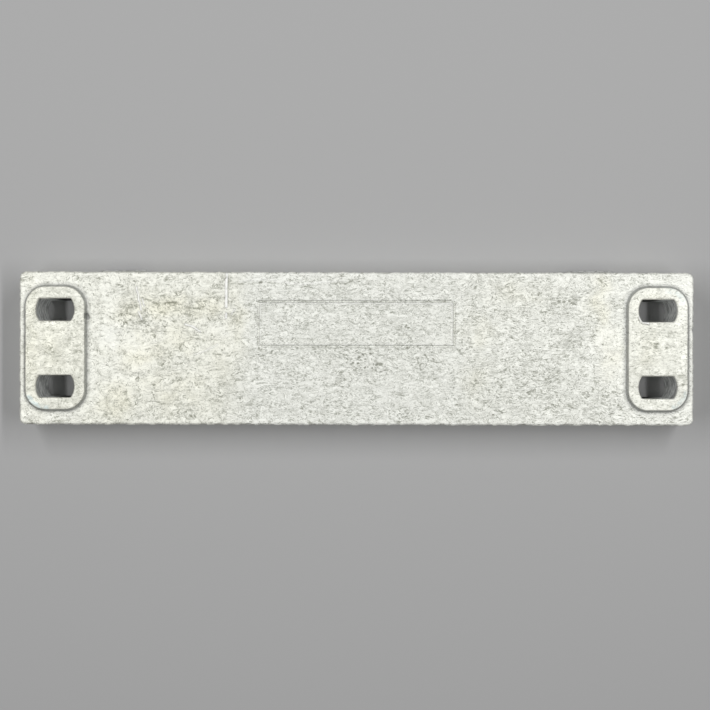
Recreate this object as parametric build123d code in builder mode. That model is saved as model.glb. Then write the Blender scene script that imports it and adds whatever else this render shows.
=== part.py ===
from build123d import *
import os
from math import radians, tan

# Sacrificial anode for a boat: one cast bar that is bolted on through its ends.
# Millimetres. The origin is the centre of the flat back face, X runs along the
# bar, Y across it, and +Z points out of the face that carries the two pads.

# Bar
length = 300.0  # along X, where the sides meet the face
width = 68.0  # along Y, where the sides meet the face
bar_height = 18.0  # from the flat back to the face
side_draft = 1.0  # degrees, the sides spread towards the back
corner_radius = 2.8  # upright corners, seen at the face
face_edge_radius = 1.0  # between the face and the sides
back_edge_radius = 0.6  # between the back and the sides

# Bolting pads, one raised near each end
pad_height = 2.0  # above the face
pad_length = 26.1  # along X, at the top of the pad
pad_corner_radius = 8.8  # plan corners, at the top of the pad
pad_end_margin = 3.25  # from the pad's top to the end of the bar
pad_side_margin = 6.85  # from the pad's top to the long sides of the bar
pad_draft = 20.0  # degrees, the pad's walls spread towards the face
pad_edge_radius = 0.5  # round-over of the pad's top edge
pad_foot_radius = 1.0  # hollow fillet where the pad grows out of the face

# Bolt slots, two through each pad: a round hole clipped by two flats along X
slot_length = 17.0  # diameter of the round ends
slot_width = 9.8  # across the flats
slot_corner_radius = 0.8  # where a flat meets a round end
slot_side_land = 5.25  # pad metal between a slot and the pad's long-side edge
slot_edge_break = 0.4  # bevel of the rims, front and back

# Border of the bare panel on the face: a fine sunk line
panel_length = 87.6  # outer size along X
panel_width = 20.5  # outer size along Y
panel_side_margin = 12.8  # from the border to the bar's +Y side
border_width = 0.6
border_depth = 0.3

# Stubs of the two casting gates, broken off the +Y side at the back
gate_length = 20.5  # along X
gate_height = 7.0  # up from the back
gate_proud = 1.5  # out of the side wall at the back
gate_end_distance = 44.0  # from the middle of a gate to the end of the bar
gate_root = 3.0  # how far the stub reaches into the bar, so that they fuse

# Sizes that follow from those above
side_spread = bar_height * tan(radians(side_draft))
back_length = length + 2 * side_spread
back_width = width + 2 * side_spread
pad_spread = pad_height * tan(radians(pad_draft))
pad_width = width - 2 * pad_side_margin
foot_length = pad_length + 2 * pad_spread
foot_width = pad_width + 2 * pad_spread
pad_pitch = length - 2 * pad_end_margin - pad_length
slot_pitch = pad_width - 2 * slot_side_land - slot_width
overall_height = bar_height + pad_height
panel_centre_y = (width - panel_width) / 2 - panel_side_margin
gate_pitch = length - 2 * gate_end_distance
gate_depth = gate_root + gate_proud
gate_centre_y = (back_width - gate_depth) / 2 + gate_proud

with BuildSketch() as slot_outline:
    Circle(slot_length / 2)
    Rectangle(slot_length, slot_width, mode=Mode.INTERSECT)
    fillet(slot_outline.vertices(), slot_corner_radius)

with BuildPart() as anode:
    # The bar is widest at the back and drafted up to the face.
    with BuildSketch():
        RectangleRounded(back_length, back_width, corner_radius + side_spread)
    extrude(amount=bar_height, taper=side_draft)

    # The pads are widest at the foot and drafted up to their flat tops.
    with BuildSketch(Plane.XY.offset(bar_height)):
        with GridLocations(pad_pitch, 0, 2, 1):
            RectangleRounded(foot_length, foot_width, pad_corner_radius + pad_spread)
    extrude(amount=pad_height, taper=pad_draft)

    # The slots go straight through the bar and its pads.
    with BuildSketch():
        with GridLocations(pad_pitch, slot_pitch, 2, 2):
            add(slot_outline.sketch)
    extrude(amount=overall_height, mode=Mode.SUBTRACT)

    # Cast edges. The face's inner wires are the pads' feet, and those of the other flats are slot rims.
    back, face, pad_tops = anode.faces().filter_by(Axis.Z).group_by(Axis.Z)
    foot_edges = face[0].inner_wires().edges()
    face_edges = face[0].outer_wire().edges()
    back_edges = back[0].outer_wire().edges()
    pad_edges = [edge for pad in pad_tops for edge in pad.outer_wire().edges()]
    slot_edges = [edge for flat in back + pad_tops for edge in flat.inner_wires().edges()]
    fillet(foot_edges, pad_foot_radius)
    fillet(pad_edges, pad_edge_radius)
    chamfer(slot_edges, slot_edge_break)
    fillet(face_edges, face_edge_radius)
    fillet(back_edges, back_edge_radius)

    # The panel's border is a ring sunk into the face.
    with BuildSketch(Plane.XY.offset(bar_height)):
        with Locations((0, panel_centre_y)):
            Rectangle(panel_length, panel_width)
            Rectangle(panel_length - 2 * border_width, panel_width - 2 * border_width, mode=Mode.SUBTRACT)
    extrude(amount=-border_depth, mode=Mode.SUBTRACT)

    # The gate stubs stand on the level of the back.
    with BuildSketch():
        with Locations((0, gate_centre_y)):
            with GridLocations(gate_pitch, 0, 2, 1):
                Rectangle(gate_length, gate_depth)
    extrude(amount=gate_height)

anode.part.label = "anode"
os.makedirs("parts", exist_ok=True)
export_step(anode.part, "parts/anode.step")
print(f"slot pitch {pad_pitch:.2f} x {slot_pitch:.2f} mm, volume {anode.part.volume / 1000:.1f} cm3")
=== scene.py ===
import bmesh
import bpy
import numpy as np
from math import cos, radians, tan
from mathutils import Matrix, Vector


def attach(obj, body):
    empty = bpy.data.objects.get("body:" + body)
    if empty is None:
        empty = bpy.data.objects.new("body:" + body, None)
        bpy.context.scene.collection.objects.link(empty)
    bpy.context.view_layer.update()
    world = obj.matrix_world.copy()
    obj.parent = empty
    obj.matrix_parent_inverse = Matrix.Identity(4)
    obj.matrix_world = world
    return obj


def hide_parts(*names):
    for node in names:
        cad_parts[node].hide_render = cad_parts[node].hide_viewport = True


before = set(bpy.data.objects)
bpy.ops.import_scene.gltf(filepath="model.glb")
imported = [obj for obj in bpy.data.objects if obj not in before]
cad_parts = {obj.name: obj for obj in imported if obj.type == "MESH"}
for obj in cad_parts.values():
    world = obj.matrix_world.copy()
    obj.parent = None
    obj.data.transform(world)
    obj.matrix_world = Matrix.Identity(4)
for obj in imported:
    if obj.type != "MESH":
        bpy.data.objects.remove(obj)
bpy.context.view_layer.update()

# ---------------------------------------------------------------------------------------
# The camera looks straight down on the face that carries the pads, from 0.47 m above it
# and almost over the middle of the bar. It is turned by a hair.

view = bpy.data.cameras.new("camera")
view.sensor_width = 36.0
view.lens = 53.57
camera = bpy.data.objects.new("camera", view)
camera.location = (-0.00067, -0.00285, 0.488)
camera.rotation_euler = (0, 0, radians(0.13))
bpy.context.scene.collection.objects.link(camera)
bpy.context.scene.camera = camera

# ---------------------------------------------------------------------------------------
# The casting: bar, two bolting pads, four slots and two gate stubs in one piece of pale
# alloy. The face, the pads and the sides carry the skin of the mould, and the gates were
# broken off the upper long side. All sizes are millimetres until the mesh is finished.

face_z, pad_z = 18.0, 20.0
bar_x, bar_y, side_draft = 150.0, 34.0, radians(1)  # half the face's length and width
corner_radius, face_edge_radius, back_edge_radius = 2.8, 1.0, 0.6
panel_x, panel_low, panel_high = 43.8, 0.7, 21.2  # outside of the panel's border
border_width, border_slope, border_depth = 0.6, 0.15, 0.3
pad_x, pad_half_length, pad_half_width, pad_radius, pad_draft = 133.7, 13.05, 27.15, 8.8, radians(20)
pad_foot_radius, pad_edge_radius = 1.0, 0.5
slot_y, slot_radius, slot_flat = 17.0, 8.5, 4.9  # a round hole cut by two flats
slot_corner_radius, slot_bevel = 0.8, 0.4
gate_x, gate_half_length, gate_height, gate_y = 106.0, 10.25, 7.0, 35.6


def outline(stations, counts):
    """Nodes along an outline and the outward direction at each. A station is a centre, a radius
    and a direction in degrees. All four change evenly from one station to the next, so a centre
    that moves draws a straight run, and a direction that turns draws an arc."""
    t = np.concatenate([[0.0]] + [i + np.arange(1, n + 1) / n for i, n in enumerate(counts) if n])
    x, y, radius, turn = (np.interp(t, np.arange(len(stations)), column) for column in zip(*stations))
    out = np.stack([np.cos(np.radians(turn)), np.sin(np.radians(turn))], -1)
    return np.stack([x, y], -1) + radius[:, None] * out, out


def arc(centre, radius, start, end, steps):
    """Points of a profile's fillet: its centre plus radius times the cosine and sine of the angle."""
    turn = np.radians(np.linspace(start, end, steps + 1))
    return np.stack([centre[0] + radius * np.cos(turn), centre[1] + radius * np.sin(turn)], -1)


def carry(path, out, corners, steps):
    """A profile carried along an outline. The profile is a row of points and arcs joined by
    straight runs of as many steps as listed, and its point (d, z) becomes a ring of nodes that
    lie d outside the path, each along its own outward direction, at height z."""
    rows = [np.atleast_2d(corners[0])]
    for piece, n in zip(corners[1:], steps):
        piece = np.atleast_2d(piece)
        rows += [np.linspace(rows[-1][-1], piece[0], n + 1)[1:-1], piece]
    d, z = np.concatenate(rows).T
    rings = path[None] + d[:, None, None] * out[None]
    return np.concatenate([rings, np.broadcast_to(z[:, None, None], rings.shape[:2] + (1,))], -1)


def ruled(first, last, steps):
    """The surface between two rows of nodes: row k is their mean, weighted by k over steps."""
    t = np.linspace(0, 1, steps + 1)[:, None, None]
    return (1 - t) * first[None] + t * last[None]


def level(nodes, z):
    """Nodes of a plan put at one height."""
    return np.concatenate([nodes, np.full(nodes.shape[:-1] + (1,), z)], -1)


# The bar's quarter with x and y above 0. The face is flat as far as its edge fillet, which starts
# a lip inside the edge, and its grid lines follow both sides of the panel's border. Past the line
# x = 113 the face is the apron round the pad.
apron_x = 113.0
lip = face_edge_radius * tan(radians(45) - side_draft / 2)
half_x, half_y = bar_x - lip, bar_y - lip
border_inside = border_width - border_slope
xs = np.concatenate([np.linspace(0, panel_x - border_width, 66),
                     [panel_x - border_inside, panel_x - border_slope],
                     np.linspace(panel_x, apron_x, 106)])
ys = np.concatenate([[0, panel_low, panel_low + border_slope, panel_low + border_inside],
                     np.linspace(panel_low + border_width, panel_high - border_width, 28),
                     [panel_high - border_inside, panel_high - border_slope],
                     np.linspace(panel_high, half_y, 17)])
middle = level(np.stack(np.meshgrid(xs, ys, indexing="ij"), -1), face_z)
corner_x, corner_y, corner_r = bar_x - corner_radius, bar_y - corner_radius, corner_radius - lip
end_path, end_out = outline([(apron_x, corner_y, corner_r, 90), (corner_x, corner_y, corner_r, 90),
                             (corner_x, corner_y, corner_r, 45), (corner_x, corner_y, corner_r, 0),
                             (corner_x, 0, corner_r, 0)], [45, 7, 7, 43])
top_path = np.stack([xs, np.full_like(xs, half_y)], -1)
bar_path = np.concatenate([top_path, end_path[1:]])
bar_out = np.concatenate([np.tile([0.0, 1.0], (len(xs), 1)), end_out[1:]])
side_spread = (face_z - back_edge_radius) * tan(side_draft)
back_d = lip + side_spread - back_edge_radius / cos(side_draft)
sides = carry(bar_path, bar_out, [arc((0, face_z - face_edge_radius), face_edge_radius, 90, 1, 5),
                                  arc((back_d, back_edge_radius), back_edge_radius, 1, -90, 3)], [16])

# A pad's half with y above 0: hollow fillet at the foot, drafted wall, rounded top edge. Its
# nodes run up the inner side, along the long-side end and down the outer side.
inner_x, outer_x = pad_x - pad_half_length + pad_radius, pad_x + pad_half_length - pad_radius
end_y = pad_half_width - pad_radius
pad_path, pad_out = outline([(inner_x, 0, pad_radius, 180), (inner_x, end_y, pad_radius, 180),
                             (inner_x, end_y, pad_radius, 135), (inner_x, end_y, pad_radius, 90),
                             (outer_x, end_y, pad_radius, 90), (outer_x, end_y, pad_radius, 45),
                             (outer_x, end_y, pad_radius, 0), (outer_x, 0, pad_radius, 0)],
                            [36, 14, 14, 24, 14, 14, 36])
fillet_reach = tan(radians(45) - pad_draft / 2)
foot_d = (pad_z - face_z) * tan(pad_draft) + pad_foot_radius * fillet_reach
rim_d = -pad_edge_radius * fillet_reach
pad_wall = carry(pad_path, pad_out, [arc((foot_d, face_z + pad_foot_radius), pad_foot_radius, 270, 200, 4),
                                     arc((rim_d, pad_z - pad_edge_radius), pad_edge_radius, 20, 90, 3)], [2])
apron_edge = np.concatenate([np.stack([np.full(len(ys) - 1, apron_x), ys[:-1]], -1), end_path])
apron = ruled(level(apron_edge, face_z), pad_wall[0], 11)

# A slot: two round ends cut by two flats, with small corners between them, and rims bevelled at
# the front and at the back. A corner's arc runs from a flat's direction to the tip's, and the
# path starts and ends in the middle of the lower left one.
tip = 32.17
corner_dx, corner_dy = 6.518, slot_flat - slot_corner_radius
start = 225 + tip / 2
stations = []
for sx, sy, first, last in ((-1, -1, start, 180 + tip), (-1, 1, 180 - tip, 90), (1, 1, 90, tip),
                            (1, -1, -tip, -90), (-1, -1, -90, start - 360)):
    corner = (pad_x + sx * corner_dx, slot_y + sy * corner_dy, slot_corner_radius)
    stations += [corner + (first,), corner + (last,)]
stations[2:2] = [(pad_x, slot_y, slot_radius, 180 + tip), (pad_x, slot_y, slot_radius, 180 - tip)]
stations[8:8] = [(pad_x, slot_y, slot_radius, tip), (pad_x, slot_y, slot_radius, -tip)]
slot_path, slot_out = outline(stations, [4, 0, 26, 0, 8, 44, 8, 0, 26, 0, 8, 44, 4])
slot_wall = carry(slot_path, slot_out, [(slot_bevel, pad_z), (0, pad_z - slot_bevel), (0, slot_bevel),
                                        (slot_bevel, 0)], [1, 14, 1])

# The pad's top: a bridge across the pad's middle, and the land round the slot.
rim, bridge_steps = pad_wall[-1], 16
bridge = ruled(rim[:bridge_steps + 1], rim[:-bridge_steps - 2:-1], 52)
around = np.concatenate([rim[bridge_steps:-bridge_steps], bridge[::-1, -1][1:]])
land = ruled(around, slot_wall[0], 8)

patches = [middle, sides, apron, pad_wall, bridge, land, slot_wall]
nodes, faces, count = [], [], 0
for patch in patches:
    rows, columns = patch.shape[:2]
    i = np.arange(rows * columns).reshape(rows, columns)
    quads = np.stack([i[:-1, :-1], i[1:, :-1], i[1:, 1:], i[:-1, 1:]], -1).reshape(-1, 4)
    for mirror in ((1, 1, 1), (-1, 1, 1), (1, -1, 1), (-1, -1, 1)):
        nodes.append(patch.reshape(-1, 3) * mirror)
        faces.append(quads + count)
        count += rows * columns
mesh = bpy.data.meshes.new("anode_casting")
mesh.from_pydata(np.concatenate(nodes).tolist(), [], np.concatenate(faces).tolist())
shell = bmesh.new()
shell.from_mesh(mesh)
bmesh.ops.remove_doubles(shell, verts=shell.verts, dist=0.004)
rims = [edge for edge in shell.edges if edge.is_boundary]
bmesh.ops.triangle_fill(shell, edges=rims, use_beauty=True)  # the flat back
bmesh.ops.recalc_face_normals(shell, faces=shell.faces)
for face in shell.faces:
    face.smooth = face.calc_center_median().z > 0.001
shell.to_mesh(mesh)
shell.free()

co = np.empty(len(mesh.vertices) * 3, np.float32)
mesh.vertices.foreach_get("co", co)
co = co.reshape(-1, 3).astype(float)
normal = np.empty(len(mesh.vertices) * 3, np.float32)
mesh.vertex_normals.foreach_get("vector", normal)
normal = normal.reshape(-1, 3).astype(float)
x, y, z = co.T


def noise(points, size, seed):
    """Gradient noise, about -1 to 1, whose lumps are about size across. Each corner of the cell
    that holds a point has a random direction. The value is the mean of the offsets from the
    corners along their directions, weighted by 6t^5 - 15t^4 + 10t^3 in each axis."""
    dice = np.random.default_rng(seed)
    table = dice.permutation(256)
    direction = dice.normal(size=(256, 3))
    direction /= np.linalg.norm(direction, axis=1)[:, None]
    cell = np.floor(points / size).astype(int)
    inside = points / size - cell
    ease = inside**3 * (inside * (inside * 6 - 15) + 10)
    total = np.zeros(len(points))
    for corner in np.ndindex(2, 2, 2):
        a, b, c = ((cell + corner) & 255).T
        pick = direction[table[(table[(table[a] + b) & 255] + c) & 255]]
        total += np.prod(np.where(corner, ease, 1 - ease), 1) * ((inside - corner) * pick).sum(1)
    return total * 1.7


def step(value, low, high):
    """0 below low, 1 above high, and 3t^2 - 2t^3 between."""
    t = np.clip((value - low) / (high - low), 0, 1)
    return t * t * (3 - 2 * t)


def bell(value, middle, width):
    """A hump of height 1 over the middle: exp(-t^2), with t the distance from it over the width."""
    return np.exp(-((value - middle) / width)**2)


# The panel's border is a sunk line with sloping sides. Its four sides are painted darker as shade in
# the sunk line, by unlike amounts, the lower one the most and the left one the least.
ring_y = np.abs(y - (panel_low + panel_high) / 2) - (panel_high - panel_low) / 2
ring = np.maximum(np.abs(x) - panel_x, ring_y)
on_face = (z > face_z - 0.01) & (z < face_z + 0.01) & (np.abs(x) < 100)
groove = step(-ring, 0.0, border_slope) * (1 - step(-ring, border_inside, border_width))
co[:, 2] -= border_depth * np.where(on_face, groove, 0)
near_face, along_panel = z > 17.5, np.abs(x) < panel_x
upright = bell(np.abs(x), panel_x - 0.2, 0.38) * near_face * (y > panel_low) * (y < panel_high)
upright *= np.where(x > 0, 1.4, 0.5)
top_line = bell(y, panel_high - 0.3, 0.38) * near_face * along_panel
lower_line = bell(y, panel_low - 0.25, 0.6) * near_face * along_panel
groove_shade = np.maximum(np.maximum(upright, 0.8 * top_line), lower_line)

# Distance outside a pad's top outline, for the painted shade on its wall and in its foot, and
# the walls of the slots, with a little to spare for the skin.
from_pad, from_middle = np.abs(np.abs(x) - pad_x), np.abs(y)
past_x, past_y = from_pad - (pad_half_length - pad_radius), from_middle - end_y
pad_gap = np.hypot(np.maximum(past_x, 0), np.maximum(past_y, 0)) - pad_radius
pad_gap += np.minimum(np.maximum(past_x, past_y), 0)
spare, from_slot = 0.06, np.abs(from_middle - slot_y)
in_slot = (np.hypot(from_pad, from_slot) < slot_radius + spare) & (from_slot < slot_flat + spare)
wall = step(pad_gap, -0.1, 0.1) * (1 - step(pad_gap, 0.75, 1.0)) * (z > face_z + 0.05)
foot = step(pad_gap, 0.6, 0.9) * (1 - step(pad_gap, 1.2, 2.8)) * (z > face_z - 0.1)
halo = step(pad_gap, 1.6, 2.4) * (1 - step(pad_gap, 3.0, 5.5)) * (z > face_z - 0.1)
depth = np.where(in_slot, step(pad_z - z, 0.1, 1.5), 0)


def clouds(*spots):
    """Soft irregular patches of the face: the largest of strength times exp(-r^2) over the spots,
    with r the distance from a spot's centre over its half sizes, bent by noise."""
    bend_x = x + 3.5 * noise(co, 7, 21) + 1.2 * noise(co, 2.6, 22)
    bend_y = y + 3.5 * noise(co, 7, 23) + 1.2 * noise(co, 2.6, 24)
    total = np.zeros(len(x))
    for sx, sy, rx, ry, strength in spots:
        total = np.maximum(total, strength * bell(bend_x, sx, rx) * bell(bend_y, sy, ry))
    return total * (z > 17)


# Where the skin differs: its crackled, pale, stained, soiled and pitted patches. Each spot is its
# centre, its half sizes and its strength.
crackle = clouds((-106.1, 5.8, 9.8, 12.5, 1.0), (-91.9, 12.5, 12.5, 9.8, 0.9),
                 (-74.1, 14.8, 13.3, 8.0, 0.5), (-107.5, 25.8, 8.9, 5.3, 0.5),
                 (-87.4, -0.8, 17.8, 11.1, 0.6), (-105.2, -20.9, 9.8, 8.0, 0.5),
                 (-54.1, 12.6, 4.5, 11.1, 0.5))
bright = clouds((-109.5, 23.0, 4.5, 6.0, 0.7), (-109.0, 5.5, 5.5, 6.0, 1.2), (-101.0, 2.0, 8.0, 5.0, 1.0),
                (-99.0, -5.0, 12.0, 5.0, 0.45), (-108.0, -12.0, 6.0, 5.0, 0.4), (-84.0, 5.0, 7.0, 4.0, 0.5),
                (-58.5, 8.1, 8.9, 4.5, 0.4), (-62.0, -3.0, 7.0, 5.0, 0.3), (113.6, 24.1, 4.5, 8.9, 0.3),
                (110.5, 4.0, 5.0, 4.5, 0.8), (111.9, -9.0, 6.0, 5.0, 0.55), (104.0, -2.0, 6.0, 2.2, 0.6),
                (60.0, 0.0, 9.0, 4.0, 0.3), (-30.0, 30.0, 20.0, 2.0, 0.35), (147.0, 28.0, 4.0, 14.0, 0.4),
                (146.0, -30.0, 6.0, 4.0, 0.3))
stain = clouds((-86.0, 17.0, 18.0, 7.0, 0.8), (-95.6, -2.5, 13.0, 8.0, 0.7),
               (-80.0, 5.0, 13.0, 9.0, 0.55), (-107.0, -24.0, 11.0, 9.0, 0.7),
               (-82.0, -20.0, 18.0, 10.0, 0.5), (-60.0, -2.0, 11.0, 12.0, 0.4),
               (-53.4, 12.0, 4.0, 13.0, 0.6), (-67.0, 19.0, 10.0, 5.0, 0.6), (108.5, 19.0, 4.0, 14.0, 0.7),
               (113.0, -3.0, 5.0, 11.0, 0.45), (53.0, 7.0, 8.0, 7.0, 0.4), (53.0, -13.0, 6.0, 8.0, 0.4),
               (70.0, 24.0, 14.0, 6.0, 0.3), (-135.5, -0.9, 9.0, 13.0, 0.35), (-144.0, 0.0, 3.0, 30.0, 0.4),
               (129.0, 0.0, 6.0, 10.0, 0.35), (130.0, 20.0, 6.0, 6.0, 0.25))
soil = clouds((-103.9, 25.4, 4.0, 2.7, 0.7), (-99.9, 18.7, 5.0, 4.0, 0.4), (-82.0, 21.5, 12.0, 3.5, 0.28),
              (-114.1, 8.0, 2.7, 8.9, 0.5), (-54.0, 12.0, 2.5, 8.0, 0.4), (-56.0, -13.0, 5.0, 8.0, 0.35),
              (95.6, 21.5, 4.0, 3.0, 1.1), (96.0, 5.5, 9.0, 4.0, 0.35), (85.0, -13.0, 9.0, 5.0, 0.3),
              (53.0, -13.0, 4.0, 6.0, 0.3), (138.5, 7.7, 2.6, 1.5, 1.0), (132.5, 1.2, 2.6, 1.4, 0.9),
              (128.3, -4.8, 3.0, 1.1, 1.0), (-135.5, -1.8, 6.0, 4.0, 0.4), (0.0, 10.0, 45.0, 11.0, 0.12))
pitted = clouds((3.8, -6.0, 11.1, 6.2, 1.0), (-38.5, -4.5, 9.0, 4.0, 0.8), (-28.0, -10.0, 6.0, 2.0, 0.4),
                (-20.6, -23.8, 3.6, 1.8, 0.7), (-14.0, -25.6, 9.8, 1.8, 0.5), (30.5, -5.0, 5.3, 5.3, 0.4))

# Relief of the mould skin, up to 0.2 mm: lumps of three sizes, a swollen band along the face's
# edge, ridges in the crackled zones, the ragged rim, and one nick in the rim of the right end.
inset = np.minimum(half_x - np.abs(x), half_y - np.abs(y)) + 0.6 * noise(co, 9, 31)
edge_band = (1 - step(inset, 0.7, 1.9)) * (z > 16.5) * step(noise(co, 6, 33), -0.25, 0.1)
skin = 0.06 * noise(co, 11, 1) + 0.05 * noise(co, 4.4, 2) + 0.045 * noise(co, 2.2, 3) + 0.03 * edge_band
ridges = 1 - np.abs(noise(co + 0.8 * noise(co, 5, 12)[:, None], 3.4, 11)) * 2.4
skin += crackle * 0.16 * (ridges - 0.35)
ragged = step(-y, 33.2, 33.9) + 0.5 * step(y, 33.2, 33.9) + 0.4 * step(np.abs(x), 149.2, 149.9)
ragged *= bell(z, face_z - 0.5, 0.55)
skin += np.minimum(ragged * (0.5 * noise(co, 2.6, 41) + 0.35 * noise(co, 1.2, 42)), 0.24)
skin -= 0.45 * bell(y, 8.6, 0.9) * bell(x, bar_x, 1.0) * (z > 14)
off_back = step(z, 0.05, 0.8)
height = skin * off_back * np.where(in_slot, 0.7, 1.0)

# Gate stubs: broken faces proud of the upper side wall, at the level of the back.
from_gate = np.abs(np.abs(x) - gate_x)
stub = (1 - step(from_gate, gate_half_length - 0.35, gate_half_length + 0.35)) * (y > 33.5)
stub *= 1 - step(z, gate_height - 0.4, gate_height + 0.6)
co[:, 1] += stub * (gate_y - co[:, 1] + 0.25 * noise(co, 1.6, 9))

co += normal * height[:, None]
mesh.vertices.foreach_set("co", (co * 0.001).astype(np.float32).ravel())
mesh.update()
for name, values in (("crackle", crackle), ("bright", bright + 0.25 * halo), ("stain", stain), ("soil", soil),
                     ("pitted", pitted), ("wall", wall), ("foot", foot), ("depth", depth), ("relief", skin),
                     ("groove_shade", groove_shade), ("edge", edge_band), ("stub", stub)):
    layer = mesh.attributes.new(name, "FLOAT", "POINT")
    layer.data.foreach_set("value", values.astype(np.float32))
casting = bpy.data.objects.new("anode_casting", mesh)
bpy.context.scene.collection.objects.link(casting)
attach(casting, "root")
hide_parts("anode")

# The alloy's finish: dull, oxidised, pale grey cast metal. Its skin shows grain, short strokes
# of flow, wrinkles and clouds, each both in tone and in relief, and a few marks of use.


class Wire:
    """A socket of a material. Sums, differences, products and quotients of wires and numbers
    add Math nodes."""

    def __init__(self, tree, socket):
        self.tree, self.socket = tree, socket

    def node(self, kind, settings, sockets, out=0):
        """Adds a node of this type with these settings, gives its input sockets these values or
        wires, and returns the wire of one output."""
        node = self.tree.nodes.new(kind)
        for name, value in settings.items():
            setattr(node, name, value)
        for name, value in sockets.items():
            if isinstance(value, Wire):
                self.tree.links.new(value.socket, node.inputs[name])
            else:
                node.inputs[name].default_value = value
        return Wire(self.tree, node.outputs[out])

    def math(self, operation, *values):
        return self.node("ShaderNodeMath", {"operation": operation}, dict(enumerate(values)))

    def __add__(self, other):
        return self.math("ADD", self, other)

    def __sub__(self, other):
        return self.math("SUBTRACT", self, other)

    def __rsub__(self, other):
        return self.math("SUBTRACT", other, self)

    def __mul__(self, other):
        return self.math("MULTIPLY", self, other)

    def __truediv__(self, other):
        return self.math("DIVIDE", self, other)

    __radd__, __rmul__ = __add__, __mul__

    def size(self):
        return self.math("ABSOLUTE", self)

    def at_most(self, other):
        return self.math("MINIMUM", self, other)

    def between(self, low, high, start=0.0, end=1.0):
        """Smoothly from start, at low and below, to end, at high and above."""
        return self.node("ShaderNodeMapRange", {"interpolation_type": "SMOOTHSTEP"},
                         {"Value": self, "From Min": low, "From Max": high, "To Min": start, "To Max": end})

    def vector(self, operation, *values):
        out = 1 if operation in ("LENGTH", "DISTANCE", "DOT_PRODUCT") else 0
        return self.node("ShaderNodeVectorMath", {"operation": operation}, dict(enumerate(values)), out)

    def blend(self, other, share, kind="MIX"):
        """The colour of this wire mixed with, or multiplied by, another by a share from 0 to 1."""
        return self.node("ShaderNodeMix", {"data_type": "RGBA", "blend_type": kind},
                         {0: share, 6: self, 7: other}, 2)


alloy = bpy.data.materials.new("cast_alloy")
alloy.use_nodes = True
tree = alloy.node_tree
bsdf = tree.nodes["Principled BSDF"]
metres = Wire(tree, tree.nodes.new("ShaderNodeTexCoord").outputs["Object"])
mm = metres.vector("MULTIPLY", metres, (1000.0, 1000.0, 1000.0))
plan = mm.vector("MULTIPLY", mm, (1.0, 1.0, 0.0))
along, across, above = (mm.node("ShaderNodeSeparateXYZ", {}, {"Vector": mm}, k) for k in range(3))


def cloudy(spot, detail=1.0, rough=0.6, curl=0.0, out=0):
    """Noise from 0 to 1 at these coordinates. Curl bends it into itself."""
    return mm.node("ShaderNodeTexNoise", {}, {"Vector": spot, "Scale": 1.0, "Detail": detail,
                                              "Roughness": rough, "Distortion": curl}, out)


def lumps(size, detail=2.0, rough=0.5, shift=0.0, curl=0.0, out=0):
    """Noise from 0 to 1 with lumps of about this many millimetres."""
    spot = mm.vector("MULTIPLY_ADD", mm, (1 / size, 1 / size, 1 / size), (shift, shift, shift))
    return cloudy(spot, detail, rough, curl, out)


drift = mm.vector("MULTIPLY_ADD", lumps(7.5, 1.0, shift=54.3, out=1), (4.0, 4.0, 0.0), mm)
wobble = lumps(2.5, 1.0, shift=41.0, out=1)


def grid(length, width, turn, shift):
    """Coordinates for a pattern of cells length by width, its long way at this angle, which wander."""
    return mm.node("ShaderNodeMapping", {}, {"Vector": drift, "Location": (shift, shift * 0.7, 0),
                                             "Rotation": (0, 0, radians(turn)),
                                             "Scale": (1 / length, 1 / width, 1 / width)})


def strands(length, width, turn, shift, curl=0.0):
    """Noise from 0 to 1 drawn out into short strokes."""
    return cloudy(grid(length, width, turn, shift), curl=curl)


def ticks(length, width, turn, shift, curl):
    """Scattered short marks: 1 on the pale ones, -1 on the dark ones and 0 on the plain skin,
    from the lowest and highest parts of drawn-out noise."""
    drawn = strands(length, width, turn, shift, curl)
    return drawn.between(0.41, 0.35) - drawn.between(0.60, 0.66)


def wrinkles(length, width, turn, thin, shift, curl):
    """Thin wandering lines where a drawn-out noise passes its middle, -1 on the line, and a pale
    lip along one side of it, up to 0.75."""
    middle = strands(length, width, turn, shift, curl) - 0.5
    lip = middle - thin * 1.9
    return lip.size().between(thin * 1.2, thin * 0.3) * 0.75 - middle.size().between(thin, thin * 0.25)


def dashes(length, width, turn, keep, shift, spread=0.35):
    """Short marks, 1 inside and 0 outside, one in some cells of a stretched Voronoi pattern."""
    cells = mm.node("ShaderNodeTexVoronoi", {}, {"Vector": grid(length, width, turn, shift), "Scale": 1.0,
                                                 "Randomness": 1.0})
    cell_colour = Wire(tree, cells.socket.node.outputs["Color"])
    pick = mm.node("ShaderNodeSeparateColor", {}, {"Color": cell_colour})
    return cells.between(spread, spread * 0.45) * pick.between(1 - keep, 1 - keep * 0.6)


def zone(x0, x1, y0, y1, soft):
    """1 inside a rectangle of the plan, fading to 0 over the soft margin outside it."""
    in_length = along.between(x0 - soft, x0) * along.between(x1 + soft, x1)
    return in_length * (across.between(y0 - soft, y0) * across.between(y1 + soft, y1))


def field(name):
    return mm.node("ShaderNodeAttribute", {"attribute_name": name}, {}, 2)


on_top = above.between(17.0, 17.5)


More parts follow.
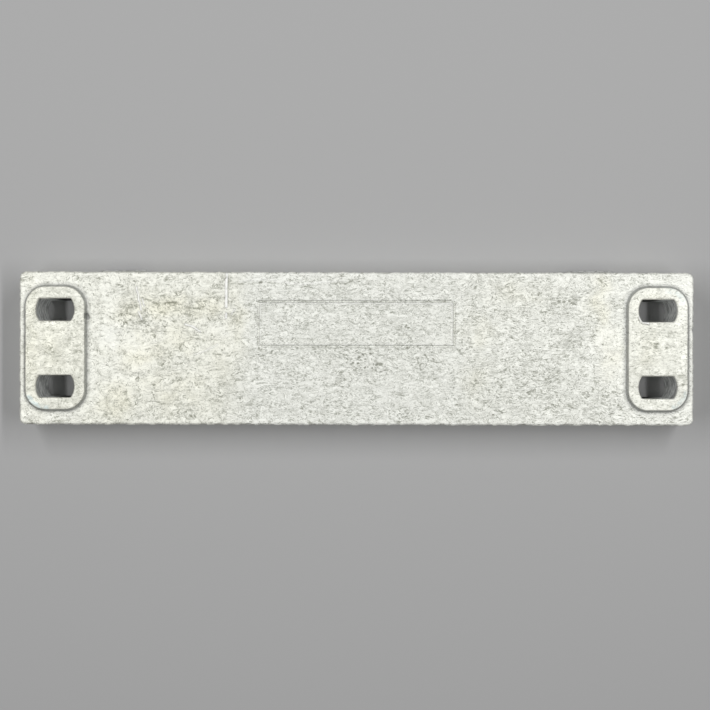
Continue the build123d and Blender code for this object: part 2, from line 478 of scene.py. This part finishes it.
def strokes(width, *points, waver=0.9):
    """Marks drawn on the face, 1 within half the width of the line through the points and 0
    outside. Each piece of the line gives the distance to its nearest point, and the least counts."""
    spot = mm.vector("MULTIPLY_ADD", wobble, (waver, waver, 0.0), plan)
    gap = None
    for (x0, y0), (x1, y1) in zip(points, points[1:]):
        run = (x1 - x0, y1 - y0, 0.0)
        start = mm.vector("SUBTRACT", spot, (x0 + waver / 2, y0 + waver / 2, 0.0))
        share = mm.vector("DOT_PRODUCT", start, run) / (run[0]**2 + run[1]**2)
        share = share.math("MAXIMUM", share.at_most(1.0), 0.0)
        reached = mm.node("ShaderNodeVectorMath", {"operation": "SCALE"}, {0: run, "Scale": share})
        near = mm.vector("DISTANCE", start, reached)
        gap = near if gap is None else near.at_most(gap)
    return gap.between(width * 0.75, width * 0.3) * on_top


def near_grey(red, green, blue):
    """The colour with these three channels, which differ little."""
    return mm.node("ShaderNodeCombineColor", {}, {"Red": red, "Green": green, "Blue": blue})


crackle, bright, stain, soil = field("crackle"), field("bright"), field("stain"), field("soil")
pitted, wall, foot, depth = field("pitted"), field("wall"), field("foot"), field("depth")
relief, groove_shade, edge, stub = field("relief"), field("groove_shade"), field("edge"), field("stub")

# Mould skin, from its finest grain to its broadest clouds. The left end is curlier than the
# rest, the right end has flat dashes, and the pads' tops and the middle of the face are calmer.
pad_top = above.between(19.0, 19.8)
calm = 1.0 - pad_top * 0.3
left = along.between(-44.0, -62.0)
right = along.between(40.0, 60.0)
rough = 1.0 - zone(-46, 62, -34, 34, 10.0) * 0.35
grain = lumps(0.5, 1.0, 0.7)
curls = lumps(1.5, 1.0, 0.6, shift=33.0, curl=1.6)
pebble = lumps(2.1, 2.0, 0.6, shift=5.0)
plates = lumps(2.3, 1.0, 0.6, shift=83.0, curl=1.3).between(0.50, 0.58)
patchy = lumps(4.6, 1.0, shift=13.0)
cloud = lumps(8.0, 2.0, 0.5, shift=9.0)
busy = lumps(9.0, 1.0, shift=27.0).between(0.40, 0.58) * 0.95 + 0.2
broad = lumps(34.0, 2.0, 0.5, shift=2.0)
swirl = cloudy(mm.vector("MULTIPLY_ADD", mm, (0.17, 0.2, 0.2), (7.0, 3.0, 0.0)), 3.0, 0.55, 2.2)
strand = ticks(2.3, 0.9, 5, 51.0, 0.9) * (1.0 - left) + ticks(2.6, 1.2, -34, 53.0, 1.2) * left
cross = ticks(1.9, 1.0, -62, 57.0, 1.0)
flow = strands(8.0, 1.9, -28, 61.0, 0.6) * left + strands(7.0, 1.6, 4, 67.0, 0.4) * (1.0 - left)
fine = wrinkles(2.6, 1.5, -30, 0.05, 11.0, 1.2) * left
fine = fine + wrinkles(3.4, 1.3, 5, 0.05, 15.0, 1.0) * (1.0 - left)
fine = fine * (patchy.between(0.36, 0.56) * 0.85 + 0.15)
veins = wrinkles(6.5, 3.6, 20, 0.026, 17.0, 1.6) * patchy.between(0.60, 0.44)
crack = wrinkles(2.2, 2.0, 0, 0.05, 23.0, 1.4) * crackle
flat_ticks = dashes(2.4, 0.8, 3, 0.5, 1.0) * (right * 0.85 + 0.1)
slant_ticks = dashes(2.2, 0.8, 38, 0.6, 4.0) * zone(48, 76, -26, 4, 8.0)
pits = dashes(1.9, 1.25, 55, 0.9, 6.0, 0.44) * pitted
specks = dashes(0.9, 0.8, 0, 0.25, 7.0)
broken = lumps(2.4, 1.0, shift=46.0).between(0.36, 0.52) * 0.75 + 0.25

# Single marks. The long scratch and the thin ones near it are bare metal, and the pale line inside the
# panel's border is a painted highlight. The dark ones are folds where the metal ran together.
scratch = strokes(1.1, (-57.9, 33.2), (-58.0, 18.5), waver=0.2)
scratch = scratch * lumps(3.2, 1.0, shift=44.0).between(0.25, 0.33)
scratch = scratch + strokes(0.9, (-58.0, 15.4), (-58.1, 13.6), waver=0.2)
scratch = scratch + strokes(0.5, (-54.2, 17.5), (-55.5, 15.1)) * 0.7
pale_lines = strokes(0.7, (-98.0, 27.3), (-95.9, 17.0)) + strokes(0.6, (-95.3, 21.8), (-94.4, 18.7))
pale_lines = pale_lines + strokes(0.7, (-96.8, 16.1), (-95.5, 12.5))
pale_lines = pale_lines + strokes(0.8, (-76.1, 10.5), (-72.3, 9.4), (-69.6, 7.3))
pale_lines = pale_lines + strokes(0.6, (-72.4, -2.9), (-67.0, -1.0), (-61.7, 1.7)) * 0.5
pale_lines = pale_lines + strokes(0.9, (-52.0, 29.8), (-41.2, 31.0), (-33.3, 29.6), (-24.3, 28.5),
                                  (-15.0, 29.7), (-5.8, 30.1)) * 0.4
long_fold = strokes(0.7, (-56.3, 28.8), (-45.8, 28.6), (-41.2, 29.8), (-33.3, 28.4), (-24.3, 27.3),
                    (-15.0, 28.5), (-5.8, 28.9), (1.0, 31.3))
left_fold = strokes(0.9, (-95.2, 22.2), (-88.7, 19.8), (-81.2, 20.3), (-78.0, 19.4), (-74.7, 18.0),
                    (-69.7, 17.5))
right_fold = strokes(0.5, (62.4, 31.8), (77.1, 31.8), (86.9, 31.2))
dark_lines = strokes(0.6, (-57.0, 32.5), (-57.1, 19.0), waver=0.2) * 0.7 + left_fold * (broken * 0.5 + 0.6)
dark_lines = dark_lines + (long_fold * 0.9 + right_fold * 0.6) * broken
short_folds = strokes(0.7, (-96.7, -10.9), (-97.1, -14.6)) + strokes(0.7, (-79.8, -15.5), (-78.3, -13.2))
short_folds = short_folds + strokes(0.5, (-90.9, -18.8), (-89.6, -23.4))
short_folds = short_folds + strokes(0.7, (-52.1, -8.8), (-52.7, -11.0))
short_folds = short_folds + strokes(0.6, (-11.6, -3.3), (-12.0, -6.9)) * 0.8
short_folds = short_folds + strokes(0.6, (26.5, -3.7), (28.7, -9.5), (30.7, -8.1), (32.0, -5.0), (30.2, -2.6))
short_folds = short_folds + strokes(0.5, (44.0, 0.6), (47.7, -3.5)) * 0.7
short_folds = short_folds + strokes(0.5, (33.4, -0.4), (39.8, -9.0)) * 0.5
pad_scuffs = strokes(0.6, (138.8, -5.0), (141.2, -5.3)) + strokes(0.5, (130.2, 2.7), (134.0, 2.4))
pad_scuffs = pad_scuffs + strokes(0.5, (130.2, 4.2), (131.8, 4.0))
dark_lines = dark_lines + short_folds + pad_scuffs
burr = strokes(0.8, (125.5, 14.2), (126.0, 12.8), (127.2, 11.8), (129.6, 11.4))
rim_line = strokes(0.5, (124.7, 14.0), (125.2, 12.3), (126.7, 11.0), (129.6, 10.6))
tint = strokes(1.9, (-145.2, -21.6), (-143.3, -24.2), (-140.6, -25.8), (-136.8, -26.2))
tint = tint + strokes(2.2, (146.0, -19.5), (144.0, -23.6), (140.8, -25.6)) * 0.5
tint = (tint + strokes(2.4, (138.0, 26.2), (142.0, 24.8), (144.6, 22.0)) * 0.5) * above.between(18.4, 19.2)
hole = strokes(1.7, (-119.9, 14.7), (-119.7, 13.7))
border_highlight = strokes(0.6, (-43.0, 1.6), (-43.0, 20.1), waver=0.2) * 0.45
border_highlight = border_highlight + strokes(0.6, (-42.5, 20.1), (42.5, 20.1), waver=0.2) * 0.35
border_highlight = (border_highlight + strokes(0.6, (42.4, 1.6), (42.4, 20.1), waver=0.2) * 0.25) * (broken * 0.5 + 0.5)

# The skin's tone, from 0, dark, to 1, pale.
tone = (grain - 0.5) * 0.6 + (strand * 0.28 + cross * 0.27) * busy * (1.0 - left * 0.3)
tone = tone + (curls - 0.5) * 0.5 + (pebble - 0.5) * 0.3 * rough + (flow - 0.5) * (left * 0.24 + 0.26)
tone = tone * calm + (swirl - 0.5) * (left * 0.5 + 0.42) + (cloud - 0.5) * 0.12 * rough + (broad - 0.5) * 0.15
tone = tone + 0.695 + bright * 0.42 - soil * 0.28 + relief * 0.5 + edge * 0.12
tone = tone + crackle * ((pebble - 0.5) * 0.9 + plates * 0.55 - 0.12)
tone = tone + pad_top * (along.between(-10.0, 10.0) * 0.09 - 0.085)
line = (fine * (0.32 - left * 0.1) + veins * (0.3 + left * 0.14)) * calm
line = line + crack * 0.36 - dark_lines * 0.32 - rim_line * 0.3
mark = flat_ticks * 0.30 + slant_ticks * 0.32 + specks * 0.28 + pits * 0.8
# The sunk line of the panel's border is painted darker as shade.
value = (tone + line - mark - groove_shade * 0.13).between(-0.15, 1.05) * 0.64

# Its colour: a pale grey, warmer at the ends and in the stains, bare metal in the scratches, a painted
# highlight inside the panel's border, and painted shade on the pads' walls and feet.
warm = left * (0.62 - bright * 0.3) + right * 0.15 + pad_top * 0.5
# Pale marks: bare metal in the scratches, lines and burr, and the painted highlight inside the panel's
# border.
pale = scratch + pale_lines * 0.8 + burr + border_highlight
# Painted shade on the pads' walls and in the hollow fillet at their feet.
shade = wall * 0.5 + foot * 0.3
colour = near_grey(value + 0.309, value + 0.317, value + 0.263)
colour = colour.blend((1.0, 0.991, 0.956, 1), warm.at_most(1.0), "MULTIPLY")
colour = colour.blend((0.99, 0.972, 0.9, 1), stain * (cloud.between(0.3, 0.6) * 0.7 + 0.45), "MULTIPLY")
colour = colour.blend((0.99, 0.99, 0.96, 1), pale.at_most(1.0) * 0.95)
colour = colour.blend((0.56, 0.74, 0.80, 1), tint * broken * 0.4)
colour = colour.blend((0.23, 0.24, 0.245, 1), shade.at_most(0.8))

# The broken faces of the gate stubs, rough, grey partly of their own and partly as painted shade,
# with a painted highlight along their top edge.
fracture = lumps(0.9, 2.0, 0.7, shift=73.0)
break_tone_and_shade = fracture.between(0.3, 0.7) * 0.34 + 0.27
stub_top_highlight = stub * across.between(34.9, 35.3) * above.between(5.9, 6.4)
colour = colour.blend(near_grey(break_tone_and_shade, break_tone_and_shade * 1.01, break_tone_and_shade), stub * 0.85)
colour = colour.blend((0.86, 0.87, 0.85, 1), stub_top_highlight * lumps(3.0, 1.0, shift=71.0).between(0.38, 0.48))

# The walls of the slots: painted near-black as shade on the ends towards the bar's middle, with their
# own paler bands on the ends towards the ends of the bar. The last is the dark pit in the foot of the
# left pad's inner wall.
bands = cloudy(mm.vector("MULTIPLY", mm, (0.35, 0.35, 0.77)), 2.0, 0.5).between(0.33, 0.67)
slot_wall_tone_and_shade = (bands * 0.5 + 0.5) * along.size().between(133.0, 138.0) + 0.03
colour = colour.blend(near_grey(slot_wall_tone_and_shade, slot_wall_tone_and_shade * 1.02, slot_wall_tone_and_shade), depth * 0.94)
colour = colour.blend((0.12, 0.125, 0.12, 1), hole * 0.6)

# Its fine relief, in millimetres, and its gloss.
height = (grain - 0.5) * 0.03 + (fracture - 0.5) * stub * 0.4 + strand * 0.02 + (flow - 0.5) * 0.10
height = height + (pebble - 0.5) * 0.08 + line * 0.08 - mark * 0.2 + pale * 0.25 - hole * 0.4 - groove_shade * 0.08
bump = mm.node("ShaderNodeBump", {}, {"Distance": 0.001, "Height": height})
gloss = 0.62 + (patchy - 0.5) * 0.22 + soil * 0.06 - bright * 0.05 - pad_top * 0.04
for name, wire in (("Base Color", colour), ("Roughness", gloss), ("Normal", bump)):
    tree.links.new(wire.socket, bsdf.inputs[name])
bsdf.inputs["Metallic"].default_value = 0.5
bsdf.inputs["Specular IOR Level"].default_value = 0.25
mesh.materials.append(alloy)

# ---------------------------------------------------------------------------------------
# The stage: a plain matt floor that the bar lies on, a faint white world, and two long soft
# lamps across the bar, high up to its left and right.

ground = bpy.data.meshes.new("floor")
ground.from_pydata([(-3, -3, 0), (3, -3, 0), (3, 3, 0), (-3, 3, 0)], [], [(0, 1, 2, 3)])
floor = bpy.data.objects.new("floor", ground)
bpy.context.scene.collection.objects.link(floor)
matt = bpy.data.materials.new("floor")
matt.use_nodes = True
matt.node_tree.nodes["Principled BSDF"].inputs["Base Color"].default_value = (0.42, 0.42, 0.42, 1)
matt.node_tree.nodes["Principled BSDF"].inputs["Roughness"].default_value = 0.9
ground.materials.append(matt)

world = bpy.data.worlds.new("world")
world.use_nodes = True
world.node_tree.nodes["Background"].inputs["Color"].default_value = (1, 1, 1, 1)
world.node_tree.nodes["Background"].inputs["Strength"].default_value = 0.08
bpy.context.scene.world = world

for name, side, watts in (("left", -1, 4.55), ("right", 1, 4.7)):
    light = bpy.data.lights.new(name, "AREA")
    light.shape = "RECTANGLE"
    light.size, light.size_y = 1.0, 0.06
    light.energy = watts
    place, aim = Vector((side * 0.438, 0.2, 0.75)), Vector((0, 0.2, 0))
    lamp = bpy.data.objects.new(name, light)
    lamp.location = place
    lamp.rotation_euler = (aim - place).to_track_quat("-Z", "Y").to_euler()
    bpy.context.scene.collection.objects.link(lamp)

bpy.context.scene.view_settings.view_transform = "Standard"
